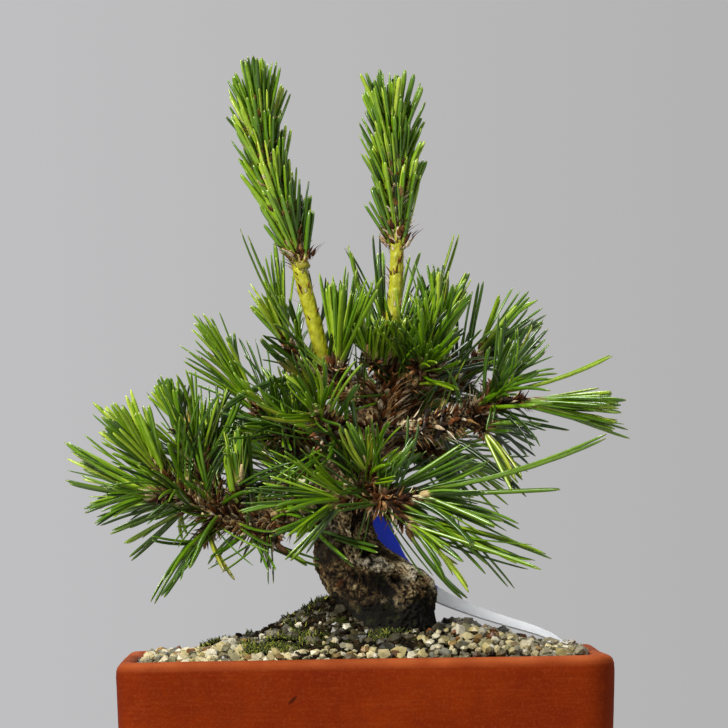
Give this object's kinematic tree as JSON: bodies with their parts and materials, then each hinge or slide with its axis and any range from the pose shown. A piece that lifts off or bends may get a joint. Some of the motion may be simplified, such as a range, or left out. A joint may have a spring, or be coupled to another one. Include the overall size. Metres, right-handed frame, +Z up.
{
  "type": "bonsai tree in a pot",
  "caption": "Small black pine bonsai with a left-leaning branch and two tall candles, in a rectangular footed clay pot with gravel.",
  "frame": {"origin": "on the surface under the middle of the whole plant's box", "axes": "+Z up, -Y the viewing front, +X to the viewer's right"},
  "size_m": [0.1695, 0.1119, 0.2342],
  "materials": {
    "clay": "unglazed fired stoneware, fine matt grain",
    "plastic_net": "moulded net",
    "wire": "anodised dark brown, dulled",
    "earth": "damp crumbly bonsai grit with humus",
    "gravel": "crushed river gravel, 3 to 5 mm",
    "moss": "short velvety moss",
    "bark": "rough flaky pine bark",
    "green_wood": "smooth young stem with paper scales",
    "needles": "waxy evergreen needles",
    "label_plastic": "flexible white plastic with a blue head"
  },
  "bodies": {
    "root": {"pot": "clay", "drain_mesh_left": "plastic_net", "mesh_clip_left": "wire", "drain_mesh_right": "plastic_net", "mesh_clip_right": "wire", "soil": "earth", "gravel": "gravel", "moss": "moss", "roots": "bark", "trunk": "bark", "training_wire": "wire", "plant_label": "label_plastic", "branch_left": "bark", "twig_left_riser": "bark", "branch_left_high": "bark", "branch_left_crown": "bark", "branch_right_crown": "bark", "branch_right": "bark", "branch_right_back": "bark", "branch_front_low": "bark", "branch_front": "bark", "branch_back_left": "bark", "branch_back_right": "bark", "candle_left_stem": "green_wood", "candle_right_stem": "green_wood", "shoot_left_tip": "needles", "shoot_left_low": "needles", "shoot_left_back": "needles", "shoot_left_riser": "needles", "shoot_left_riser_side": "needles", "shoot_left_upright": "needles", "shoot_left_under": "needles", "shoot_left_inner": "needles", "shoot_centre_left": "needles", "shoot_centre_front": "needles", "shoot_crown_left": "needles", "shoot_candle_base": "needles", "shoot_crown_centre": "needles", "shoot_crown_back": "needles", "shoot_crown_right": "needles", "shoot_crown_front": "needles", "shoot_right_tip": "needles", "shoot_right_upper": "needles", "shoot_right_outer": "needles", "shoot_right_under": "needles", "shoot_front_up": "needles", "shoot_front_right": "needles", "shoot_front_low": "needles", "shoot_front_left": "needles", "shoot_front_centre": "needles", "shoot_back_left_tip": "needles", "shoot_back_left_up": "needles", "shoot_back_left_side": "needles", "shoot_back_right_tip": "needles", "shoot_back_right_up": "needles", "shoot_back_right_side": "needles", "shoot_back_centre": "needles", "candle_left_needles": "needles", "candle_right_needles": "needles"}
  },
  "joints": []
}
